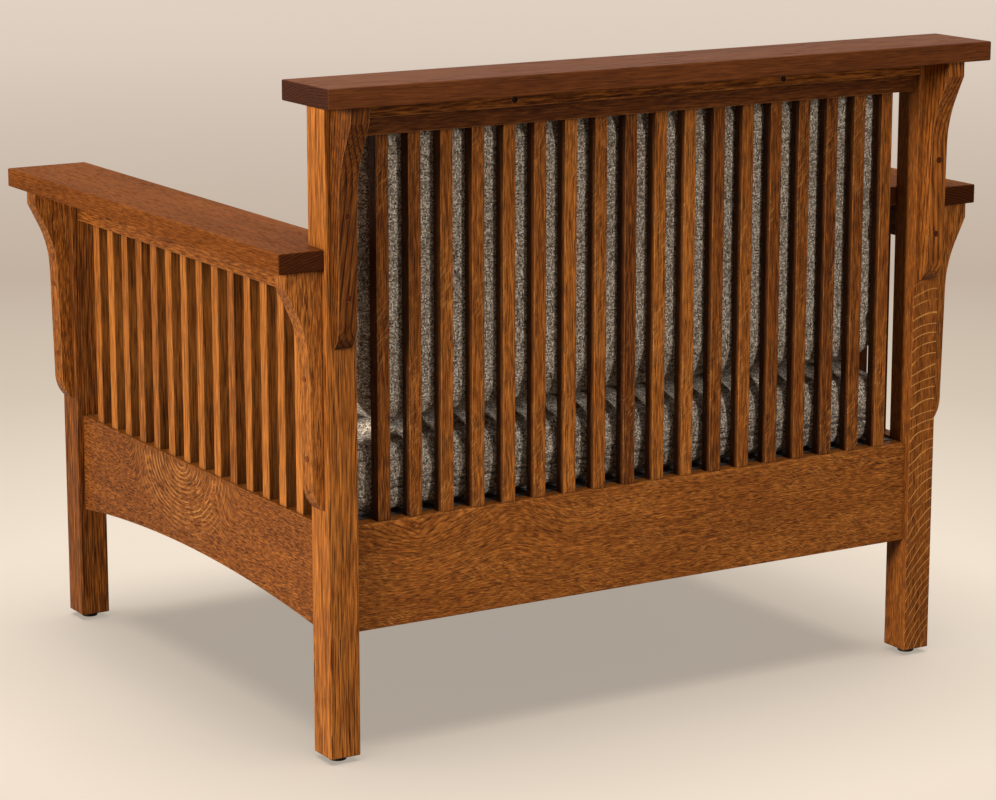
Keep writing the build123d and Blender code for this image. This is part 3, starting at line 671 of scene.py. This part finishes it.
def alongPath(name, paths, look, material):
    # a Geometry Nodes tree puts a small six-sided bar at each step, lying along the path
    group = bpy.data.node_groups.new(name + "_steps", "GeometryNodeTree")
    for label, kind in (("Path", "Geometry"), ("Pitch", "Float"), ("Length", "Float"), ("Thickness", "Float"),
                        ("Material", "Material")):
        group.interface.new_socket(label, in_out="INPUT", socket_type="NodeSocket" + kind)
    group.interface.new_socket("Pieces", in_out="OUTPUT", socket_type="NodeSocketGeometry")
    tree = group.nodes
    given, out = tree.new("NodeGroupInput"), tree.new("NodeGroupOutput")
    toCurve, evenly = tree.new("GeometryNodeMeshToCurve"), tree.new("GeometryNodeResampleCurve")
    evenly.mode = "LENGTH"
    place, bar = tree.new("GeometryNodeInstanceOnPoints"), tree.new("GeometryNodeMeshCylinder")
    bar.inputs["Vertices"].default_value = barSides
    half = tree.new("ShaderNodeMath")
    half.operation = "MULTIPLY"
    half.inputs[1].default_value = 0.5
    tangent, align = tree.new("GeometryNodeInputTangent"), tree.new("FunctionNodeAlignRotationToVector")
    align.axis = "Z"
    real, coat = tree.new("GeometryNodeRealizeInstances"), tree.new("GeometryNodeSetMaterial")
    for source, output, target, entry in (
            (given, "Path", toCurve, "Mesh"), (toCurve, "Curve", evenly, "Curve"),
            (given, "Pitch", evenly, "Length"), (evenly, "Curve", place, "Points"),
            (given, "Thickness", half, 0), (half, 0, bar, "Radius"),
            (given, "Length", bar, "Depth"), (bar, "Mesh", place, "Instance"), (tangent, 0, align, "Vector"),
            (align, "Rotation", place, "Rotation"), (place, "Instances", real, "Geometry"),
            (real, "Geometry", coat, "Geometry"), (given, "Material", coat, "Material"),
            (coat, "Geometry", out, "Pieces")):
        group.links.new(source.outputs[output], target.inputs[entry])
    shape = bmesh.new()
    for path in paths:
        row = [shape.verts.new(p) for p in path]
        for first, second in zip(row, row[1:]):
            shape.edges.new((first, second))
    holder = objectFrom(name, shape)
    modifier = holder.modifiers.new("steps", "NODES")
    modifier.node_group = group
    values = dict(look, Material=material)
    for item in group.interface.items_tree:
        if item.in_out == "INPUT" and item.name in values:
            modifier[item.identifier] = values[item.name]
    applyModifiers(holder)
    return holder


# Cushions: built a little small, blown up as cloth, capped, then given seams and a weave for each panel

def roundedOutline(halfLong, halfShort, corner, draw, count):
    # points round a cushion seen from above; the sides pull in between the corners
    points = []
    flatLong, flatShort, arc = halfLong - corner, halfShort - corner, math.pi * corner / 2
    stretches = ((2 * flatLong, 0), (arc, 1), (2 * flatShort, 0), (arc, 1)) * 2
    total = 2 * (2 * flatLong + 2 * flatShort) + 4 * arc
    for index in range(count):
        s = total * index / count
        for side, (length, turn) in enumerate(stretches):
            if s <= length or side == 7:
                break
            s -= length
        quarter, share = side // 2, s / length
        if turn:
            angle = -math.pi / 2 + quarter * math.pi / 2 + share * math.pi / 2
            x = math.copysign(flatLong, (1, 1, -1, -1)[quarter]) + corner * math.cos(angle)
            y = math.copysign(flatShort, (-1, 1, 1, -1)[quarter]) + corner * math.sin(angle)
            points.append((x, y))
        else:
            pull = draw * math.sin(math.pi * share)
            points.append(((s - flatLong, pull - halfShort), (halfLong - pull, s - flatShort),
                           (flatLong - s, halfShort - pull), (pull - halfLong, flatShort - s))[quarter])
    return points


blankLook = {
    "count": 144,  # points round the cushion
    "flat": (0.02, 0.2, 0.4, 0.6, 0.8, 0.93),  # rings on the flat side, as shares of its half width
    "crowned": (0.97, 0.93, 0.87, 0.79, 0.69, 0.57, 0.44, 0.31, 0.18, 0.06, 0.02),
    "rise": 0.82,  # how much of the crown is there before the cushion is blown up
}


def cushionBlank(name, look):
    # rings from the middle of the flat side, up the boxing, to the middle of the crowned side
    inset, count = look["start"], blankLook["count"]
    halfLong, halfShort = look["halfLong"] - inset, look["halfShort"] - inset
    shape = bmesh.new()
    loops = []

    def ringAt(scaleIn, z, tuck):
        corner = look["corner"] - tuck * 0.5
        points = roundedOutline(halfLong - tuck, halfShort - tuck, corner, look["draw"], count)
        away = min(halfLong, halfShort) * (1 - scaleIn)
        fx, fy = (halfLong - away) / halfLong, (halfShort - away) / halfShort
        loops.append([shape.verts.new((x * fx, y * fy, z)) for x, y in points])

    low, high = inset, look["edge"] - inset * 0.3
    for scale in blankLook["flat"]:
        ringAt(scale, low, 0.0)
    ringAt(0.99, low + 0.001, look["tuck"] * 0.4)
    ringAt(1.0, low + 0.006, look["tuck"] * 0.25)
    for share in (0.2, 0.4, 0.6, 0.8):
        ringAt(1.0, low + (high - low) * share, 0.0)
    ringAt(1.0, high, look["tuck"] * 0.25)
    for scale in blankLook["crowned"]:
        inward = min((1 - scale) * 1.9, 1.0)
        crown = look["crown"] * (1 - (1 - inward) ** 2.2)
        ringAt(scale, high + crown * blankLook["rise"], 0.0)
    for first, second in zip(loops, loops[1:]):
        for index in range(count):
            following = (index + 1) % count
            shape.faces.new((first[index], first[following], second[following], second[index]))
    shape.faces.new(list(reversed(loops[0])))
    shape.faces.new(loops[-1])
    bmesh.ops.recalc_face_normals(shape, faces=shape.faces)
    return objectFrom(name, shape)


clothLook = {"quality": 5, "mass": 0.3, "tension_stiffness": 12, "compression_stiffness": 12,
             "shear_stiffness": 4, "bending_stiffness": 0.6, "use_pressure": True,
             "vertex_group_mass": "seams"}
pinReach, moments = 0.006, 20


def blowUp(holder, look, seams):
    # pressure inside, no gravity; the seams are pinned, so each panel bulges between them
    before = coordinates(holder.data)
    group = holder.vertex_groups.new(name="seams")
    for index, gap in enumerate(seams):
        if gap < pinReach:
            group.add([index], 1.0, "REPLACE")
    cloth = holder.modifiers.new("swell", "CLOTH")
    for setting, value in clothLook.items():
        setattr(cloth.settings, setting, value)
    cloth.settings.uniform_pressure_force = look["pressure"]
    cloth.settings.shrink_min = look["spare"]
    cloth.settings.effector_weights.gravity = 0
    cloth.point_cache.frame_start = 1
    cloth.point_cache.frame_end = moments
    for moment in range(1, moments + 1):
        scene.frame_set(moment)
    applyModifiers(holder)
    holder.vertex_groups.clear()
    moved = coordinates(holder.data) - before
    size = np.linalg.norm(moved, axis=1, keepdims=True)
    setCoordinates(holder.data, before + moved * np.minimum(1.0, look["cap"] / np.maximum(size, 1e-9)))
    scene.frame_set(1)


def seamRings(look):
    # both edges of the boxing, as points round the cushion
    halfLong, halfShort = look["halfLong"] - look["start"], look["halfShort"] - look["start"]
    outline = roundedOutline(halfLong, halfShort, look["corner"], look["draw"], 900)
    return np.array([(x, y, z) for z in look["seams"] for x, y in outline])


def gapTo(points, rings):
    # distance from each point to the nearest seam point
    tree = BVHTree.FromPolygons([tuple(p) for p in rings],
                                [(i, (i + 1) % len(rings), i) for i in range(len(rings) - 1)
                                 if np.linalg.norm(rings[i] - rings[i + 1]) < 0.02])
    return np.array([tree.find_nearest(Vector(p))[3] or 1.0 for p in points])


def weaveMap(mesh, look):
    # one flat map per panel: the two faces seen straight on, and the boxing unrolled
    uv = mesh.uv_layers.new(name="weave")
    points = coordinates(mesh)
    outline = np.array(roundedOutline(look["halfLong"], look["halfShort"], look["corner"], look["draw"], 720))
    steps = np.linalg.norm(np.roll(outline, -1, axis=0) - outline, axis=1)
    lengths = np.concatenate([[0], np.cumsum(steps)[:-1]])
    whole = steps.sum()
    angles = np.arctan2(outline[:, 1] / look["halfShort"], outline[:, 0] / look["halfLong"])
    order = np.argsort(angles)
    angleAt, lengthAt = angles[order], lengths[order]
    values = []
    low, high = look["seams"]
    for face in mesh.polygons:
        if low < face.center.z < high and abs(face.normal.z) < 0.75:
            around = []
            for index in face.vertices:
                x, y, z = points[index]
                angle = math.atan2(y / look["halfShort"], x / look["halfLong"])
                spot = np.searchsorted(angleAt, angle) % len(angleAt)
                back = (spot - 1) % len(angleAt)
                spanAngle = (angleAt[spot] - angleAt[back]) % (2 * math.pi)
                share = ((angle - angleAt[back]) % (2 * math.pi)) / spanAngle if spanAngle > 1e-9 else 0
                step = (lengthAt[spot] - lengthAt[back] + whole / 2) % whole - whole / 2
                around.append((lengthAt[back] + share * step, z))
            start = around[0][0] - whole / 2  # a face across the join stays in one piece
            for length, z in around:
                values += [start + (length - start) % whole, z + 3.0]
        else:
            for index in face.vertices:
                values += list(points[index][:2])
    uv.data.foreach_set("uv", values)


def cushion(name, look, place):
    blank = cushionBlank(name, look)
    remesh = blank.modifiers.new("even", "REMESH")
    remesh.mode = "VOXEL"
    remesh.voxel_size = look["voxel"]
    applyModifiers(blank)
    rings = seamRings(look)
    blowUp(blank, look, gapTo(coordinates(blank.data), rings))
    finer = blank.modifiers.new("finer", "SUBSURF")
    finer.levels = finer.render_levels = 1
    applyModifiers(blank)
    points = coordinates(blank.data)
    gaps = gapTo(points, rings)
    points = np.clip(points, *look["room"])  # keep clear of what stands round the cushion
    if look["groove"]:  # the zip's placket draws the boxing in
        height, depth, spread, reach = look["groove"]
        near = np.exp(-((points[:, 2] - height) / spread) ** 2) * (points[:, 1] > look["halfShort"] * 0.8)
        points[:, 1] -= depth * near * np.clip((reach - np.abs(points[:, 0])) / 0.03, 0, 1)
    setCoordinates(blank.data, points)
    weaveMap(blank.data, look)
    keepSeamGap(blank.data, gaps)
    setCoordinates(blank.data, np.array([place(p) for p in points]))
    blank.data.update()
    if place((0, 0, 1))[2] == place((0, 0, 0))[2]:  # turned about, so the faces are checked
        shape = bmesh.new()
        shape.from_mesh(blank.data)
        if shape.calc_volume(signed=True) < 0:
            bmesh.ops.reverse_faces(shape, faces=shape.faces)
        shape.to_mesh(blank.data)
        shape.free()
    for face in blank.data.polygons:
        face.use_smooth = True
    onlyMaterial(blank, tweedCloth)
    print("stage:", name, len(blank.data.vertices), "points")
    return blank


def fitTo(look, low, high, short, deep):
    # what follows from the cushion's box; short and deep are its axes across and through
    thick = high[deep] - low[deep]
    long, half = (high[0] - low[0]) / 2, (high[short] - low[short]) / 2
    ends, lowSide, highSide, top = look["spill"]
    look.update(halfLong=long, halfShort=half, crown=thick - look["edge"],
                room=((-long - ends, -half - lowSide, 0.0), (long + ends, half + highSide, thick + top)))
    return (high[short] + low[short]) / 2


cushionPlain = {
    "start": 0.005,  # how much smaller the blank is, all round
    "voxel": 0.0065, "pressure": 4.0, "spare": -0.03,  # the blank's mesh, and its swelling
    "groove": None,  # dip along the zip: height, depth, spread, reach
}
seatLook = dict(
    cushionPlain, edge=0.098, corner=0.034, draw=0.007, tuck=0.012, cap=0.022, seams=(0.009, 0.094),
    groove=(0.0367, 0.0050, 0.011, 0.418),
    spill=(0.003, 0.006, 0.0, 0.006))  # how far it may pass its box: ends, low side, high side, top
backLook = dict(
    cushionPlain, edge=0.118, corner=0.048, draw=0.008, tuck=0.016, cap=0.024, seams=(0.012, 0.112),
    spill=(0.003, 0.002, 0.003, 0.008))

seatLow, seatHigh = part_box("seat_cushion")
seatMiddle = fitTo(seatLook, seatLow, seatHigh, 1, 2)
seatCushion = cushion("seat_cushion_cover", seatLook,
                      lambda p: (p[0], p[1] + seatMiddle, p[2] + seatLow[2]))
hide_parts("seat_cushion")
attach(seatCushion, "seat_cushion")

backLow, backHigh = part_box("back_cushion")
backMiddle = fitTo(backLook, backLow, backHigh, 2, 1)
backCushion = cushion("back_cushion_cover", backLook,
                      lambda p: (p[0], backHigh[1] - p[2], p[1] + backMiddle))
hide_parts("back_cushion")
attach(backCushion, "back_cushion")


# Zip placket along the seat cushion's rear boxing: two folded lips over the hidden teeth

placketLook = {
    "height": 0.357, "reach": 0.412, "half": 0.011, "rows": 22, "step": 0.003, "thick": 0.0012,
    "lip": 0.0033, "lipWidth": 0.0021, "rise": 0.0021, "lift": 0.0006, "wrinkle": 0.0004,
    "stitchInset": 0.0028, "stitchLift": 0.0011, "stitchPoints": 160,
    "stitch": {"Pitch": 0.0042, "Length": 0.0030, "Thickness": 0.0007},
}


def surfaceAt(tree, x, z):
    # the rear of the cushion at this place, seen from behind
    hit = tree.ray_cast(Vector((x, seatHigh[1] + 0.05, z)), Vector((0, -1, 0)))[0]
    return hit.y if hit else seatHigh[1] - 0.006


def sheetMesh(name, strips, place):
    # each strip is a list of rows of points; place gives the map in metres
    shape = bmesh.new()
    layer = shape.loops.layers.uv.new("weave")
    for strip in strips:
        rows = [[shape.verts.new(p) for p in row] for row in strip]
        for below, above in zip(rows, rows[1:]):
            for index in range(len(below) - 1):
                face = shape.faces.new((below[index], below[index + 1], above[index + 1], above[index]))
                face.smooth = True
                for corner in face.loops:
                    corner[layer].uv = place(corner.vert.co)
    return objectFrom(name, shape)


def thicken(holder, amount, offset, material):
    solid = holder.modifiers.new("thickness", "SOLIDIFY")
    solid.thickness, solid.offset = amount, offset
    applyModifiers(holder)
    onlyMaterial(holder, material)


def placket(look):
    tree = BVHTree.FromPolygons([v.co for v in seatCushion.data.vertices],
                                [tuple(f.vertices) for f in seatCushion.data.polygons])
    count = round(2 * look["reach"] / look["step"])
    grid = []
    for row in range(look["rows"] + 1):
        t = (row / look["rows"] * 2 - 1) * look["half"]
        z = look["height"] + t
        lips = math.exp(-((abs(t) - look["lip"]) / look["lipWidth"]) ** 2) * look["rise"]
        line = []
        for index in range(count + 1):
            x = -look["reach"] + 2 * look["reach"] * index / count
            y = surfaceAt(tree, x, z) + look["lift"] + lips
            wrinkled = y + look["wrinkle"] * noise.noise((x * 40, t * 90, 3.1))
            line.append((x, min(wrinkled, seatHigh[1] - 0.0002), z))
        grid.append(line)
    strip = sheetMesh("seat_cushion_placket", [grid], lambda p: (p.x + 7.0, p.z + 5.0))
    thicken(strip, look["thick"], -1, tweedCloth)
    away = [abs(v.co.z - look["height"]) for v in strip.data.vertices]
    keepSeamGap(strip.data, [min(t, look["half"] - t) + 0.0004 for t in away])
    paths = []
    stitched = look["reach"] - 0.004
    for side in (-1, 1):
        z = look["height"] + side * (look["half"] - look["stitchInset"])
        paths.append([(x, surfaceAt(tree, x, z) + look["stitchLift"], z)
                      for x in np.linspace(-stitched, stitched, look["stitchPoints"])])
    rows = alongPath("seat_cushion_stitches", paths, look["stitch"], thread)
    for piece in (strip, rows):
        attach(piece, "seat_cushion")


placket(placketLook)
print("stage: zip placket")


# Two sheets stapled to the seat frame: the deck cloth over the straps, the dust cover under the frame

stapleLook = {"Pitch": 0.045, "Length": 0.0115, "Thickness": 0.0011}
deckLook = {"thick": 0.0009, "ripple": 0.00025, "inset": 0.009, "below": 0.0004}
dustLook = {"thick": 0.0007, "sag": 0.0055, "uneven": 0.0012, "inset": 0.008, "above": 0.0001}
sheetStep, cornerGap = 0.012, 0.03


def panel(name, low, high, z, drop):
    countX, countY = [round((high[axis] - low[axis]) / sheetStep) for axis in (0, 1)]
    grid = []
    for row in range(countY + 1):
        y = low[1] + (high[1] - low[1]) * row / countY
        line = []
        for index in range(countX + 1):
            x = low[0] + (high[0] - low[0]) * index / countX
            inside = math.sin(math.pi * index / countX) * math.sin(math.pi * row / countY)
            line.append((x, y, z + drop(x, y, inside)))
        grid.append(line)
    return sheetMesh(name, [grid], lambda p: (p.x + 2.0, p.y + 2.0))


def edgePaths(low, high, inset, z):
    x0, x1, y0, y1 = low[0] + inset, high[0] - inset, low[1] + inset, high[1] - inset
    front, back = y0 + cornerGap, y1 - cornerGap
    ends = ((x0, y0, x1, y0), (x0, y1, x1, y1), (x0, front, x0, back), (x1, front, x1, back))
    return [[(a, b, z), (c, d, z)] for a, b, c, d in ends]


def deckRipple(x, y, inside):
    return deckLook["ripple"] * noise.noise((x * 9, y * 9, 0.4)) * min(inside * 4, 1)


def dustSag(x, y, inside):
    uneven = dustLook["uneven"] * inside * (1 + noise.noise((x * 7, y * 7, 2.2)))
    return -dustLook["sag"] * inside ** 0.7 - uneven


deckLow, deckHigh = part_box("deck_cloth")
deckTop = deckHigh[2] - deckLook["below"]
deckCloth = panel("deck_cloth_canvas", deckLow, deckHigh, deckTop, deckRipple)
thicken(deckCloth, deckLook["thick"], -1, deckCanvas)
deckEdge = edgePaths(deckLow, deckHigh, deckLook["inset"], deckTop)
deckStaples = alongPath("deck_staples", deckEdge, stapleLook, zincPlate)
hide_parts("deck_cloth")
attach(deckCloth, "frame")
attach(deckStaples, "frame")

dustLow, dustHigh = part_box("dust_cover")
dustCover = panel("dust_cover_felt", dustLow, dustHigh, dustHigh[2], dustSag)
thicken(dustCover, dustLook["thick"], 1, dustFelt)
dustEdge = edgePaths(dustLow, dustHigh, dustLook["inset"], dustLow[2] + dustLook["above"])
dustStaples = alongPath("dust_staples", dustEdge, stapleLook, zincPlate)
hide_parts("dust_cover")
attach(dustCover, "frame")
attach(dustStaples, "frame")
print("stage: deck cloth and dust cover")


# Seat webbing, woven over and under

strapLook = {"thick": 0.0013, "lift": 0.0009, "step": 0.006, "reach": 0.026, "across": 4}


def strapEdges(node, axis):
    # the straps' two edges each, read from the node's own solids
    values = sorted({round(v.co[axis], 5) for v in nodes[node].data.vertices})
    return [(a, b) for a, b in zip(values[::2], values[1::2])]


def webStraps(name, node, axis, crossing):
    # strips that run along one way and ride over and under the other set
    low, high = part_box(node)
    along = 1 - axis
    middleZ = (low[2] + high[2]) / 2
    others = [(a + b) / 2 for a, b in crossing]
    count, across = round((high[along] - low[along]) / strapLook["step"]), strapLook["across"]
    strips = []
    for number, (near, far) in enumerate(strapEdges(node, axis)):
        strip = []
        for index in range(count + 1):
            at = low[along] + (high[along] - low[along]) * index / count
            lift = 0
            for place, other in enumerate(others):
                over = 1 if (number + place + axis) % 2 else -1
                lift += over * math.exp(-((at - other) / strapLook["reach"]) ** 2)
            row = []
            for side in range(across + 1):
                point = [0, 0, middleZ + lift * strapLook["lift"]]
                point[along], point[axis] = at, near + (far - near) * side / across
                row.append(point)
            strip.append(row)
        strips.append(strip)
    straps = sheetMesh(name, strips, lambda p: (p.x + 3.0, p.y + 3.0))
    thicken(straps, strapLook["thick"], 0, webbing)
    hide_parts(node)
    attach(straps, "frame")


firstAxis = 0 if len(strapEdges("seat_straps_lengthwise", 0)) > 2 else 1
strapAxes = {"lengthwise": firstAxis, "crosswise": 1 - firstAxis}
for way, other in (("lengthwise", "crosswise"), ("crosswise", "lengthwise")):
    crossing = strapEdges("seat_straps_" + other, strapAxes[other])
    webStraps("webbing_" + way, "seat_straps_" + way, strapAxes[way], crossing)
print("stage: webbing")


# Floor and light

# painted light and shade on the floor: lighter near the chair, darkest about 3 m out, and lighter again far
# off
floorTones = [(0.0, colour(240, 226, 210)), (0.9, colour(241, 227, 210)), (1.9, colour(212, 198, 181)),
              (3.2, colour(192, 176, 161)), (8.0, colour(218, 204, 191)), (14.0, colour(230, 216, 204))]
floorRadius, floorGlow = 30, 0.45


def seenOnly():
    # one for rays from the camera, a mirror or glass, and none for rays that light something
    kinds = newNode("LightPath").outputs
    mirror = calc("MAXIMUM", kinds["Is Glossy Ray"], kinds["Is Transmission Ray"])
    return calc("MAXIMUM", kinds["Is Camera Ray"], mirror)


def floorPaint():
    material = bpy.data.materials.new("floor_paint")
    surface = startTree(material, "OutputMaterial")
    reach = floorTones[-1][0]
    away = calc("DIVIDE", vector("LENGTH", objectSpace(), out=1), reach, clamp=True)
    tone = ramp(away, [(at / reach, tint) for at, tint in floorTones])
    paint = add("BsdfPrincipled", {"Base Color": tone, "Roughness": 0.9, "Specular IOR Level": 0.1})
    glow = add("Emission", {"Color": tone, "Strength": seenOnly()})
    link(add("MixShader", {0: floorGlow, 1: paint, 2: glow}), surface)
    return material


disc = bmesh.new()
bmesh.ops.create_circle(disc, cap_ends=True, segments=96, radius=floorRadius)
studioFloor = objectFrom("studio_floor", disc)
onlyMaterial(studioFloor, floorPaint())

world = bpy.data.worlds.new("studio")
scene.world = world
sky = startTree(world, "OutputWorld")
faint = add("Background", {0: colour(240, 226, 208), 1: 0.08})
backdrop = add("Background", {0: colour(230, 215, 202), 1: 1.0})
link(add("MixShader", {0: seenOnly(), 1: faint, 2: backdrop}), sky)

# the chair's own lamps leave the floor to the overhead light, so that its shadow stays soft and even
chairOnly = bpy.data.collections.new("not_on_floor")
chairOnly.objects.link(studioFloor)
lights = {
    "key_from_left": dict(
        place=(4.7, 1.28, 1.8), aim=(0.2, 0.1, 0.5), size=(1.0, 1.0), power=325,
        tint=(1.0, 0.95, 0.88), mirrored=True),
    "strip_from_behind": dict(
        place=(-0.30, 4.35, 2.2), aim=(0.0, 0.35, 0.55), size=(0.3, 3.0), power=82,
        tint=(1.0, 0.97, 0.93), mirrored=True),
    "fill_from_front": dict(
        place=(-2.2, -3.6, 2.4), aim=(0, 0, 0.5), size=(2.0, 2.0), power=100,
        tint=(1.0, 0.97, 0.94), mirrored=False),
}
for name, light in lights.items():
    lamp = bpy.data.lights.new(name, "AREA")
    lamp.shape = "RECTANGLE"
    lamp.size, lamp.size_y = light["size"]
    lamp.energy = light["power"]
    lamp.color = light["tint"]
    held = placed(name, lamp)
    held.location = light["place"]
    towards = Vector(light["aim"]) - Vector(light["place"])
    held.rotation_euler = towards.to_track_quat("-Z", "Y").to_euler()
    held.visible_camera = False
    held.visible_glossy = light["mirrored"]
    held.light_linking.receiver_collection = chairOnly
for entry in chairOnly.collection_objects:
    entry.light_linking.link_state = "EXCLUDE"
overhead = {"strength": 3.0, "spread": 50, "tint": (1.0, 0.99, 0.97)}
sun = bpy.data.lights.new("soft_overhead", "SUN")
sun.energy, sun.angle, sun.color = overhead["strength"], math.radians(overhead["spread"]), overhead["tint"]
placed("soft_overhead", sun).location = (0, 0, 4)
print("stage: floor and light")

scene.view_settings.view_transform = "Standard"
